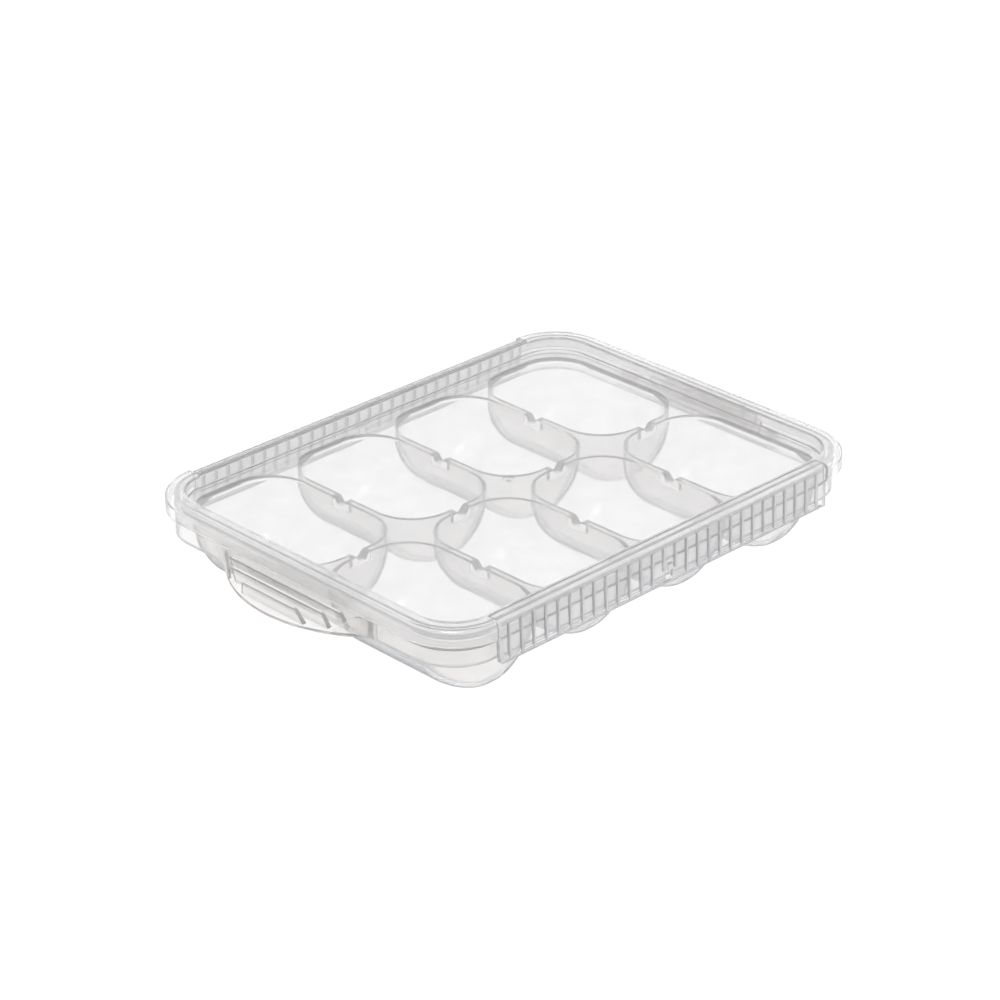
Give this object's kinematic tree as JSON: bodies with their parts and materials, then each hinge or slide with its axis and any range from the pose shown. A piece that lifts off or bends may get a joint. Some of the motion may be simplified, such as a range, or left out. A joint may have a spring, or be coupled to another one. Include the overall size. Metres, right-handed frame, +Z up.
{
  "type": "lidded multi-cell tray",
  "caption": "Shallow translucent moulded tray of rounded cells under a flat recessed snap lid, with ribbed latch flaps on the long sides and pull tabs on the short sides.",
  "frame": {"origin": "centre of the tray's footprint, on the ground under the bowl bottoms", "axes": "+X along the long side towards the rear-right pull tab, +Y across towards the rear latch flap, +Z up out of the cells"},
  "size_m": [0.2326, 0.1572, 0.0336],
  "materials": {
    "tray_plastic": "natural translucent polypropylene, slightly warm, smooth moulded surface",
    "lid_plastic": "clear-natural translucent polypropylene, smooth moulded surface",
    "flap_plastic": "clear-natural translucent polypropylene with moulded ribs",
    "hinge_web": "thin flexed polypropylene web"
  },
  "bodies": {
    "tray": {"cell_tray": "tray_plastic"},
    "lid": {"lid_shell": "lid_plastic", "front_living_hinge": "hinge_web", "rear_living_hinge": "hinge_web"},
    "front_flap": {"front_latch_flap": "flap_plastic"},
    "rear_flap": {"rear_latch_flap": "flap_plastic"}
  },
  "joints": [
    {"name": "lid_lift", "type": "slide", "parent": "tray", "child": "lid", "axis": [0, 0, 1], "range_m": [0, 0.06]},
    {"name": "front_flap_hinge", "type": "hinge", "parent": "lid", "child": "front_flap", "pos_m": [0, -0.07295, 0.0336], "axis": [-1, 0, 0], "range_deg": [0, 120]},
    {"name": "rear_flap_hinge", "type": "hinge", "parent": "lid", "child": "rear_flap", "pos_m": [0, 0.07295, 0.0336], "axis": [1, 0, 0], "range_deg": [0, 120]}
  ]
}
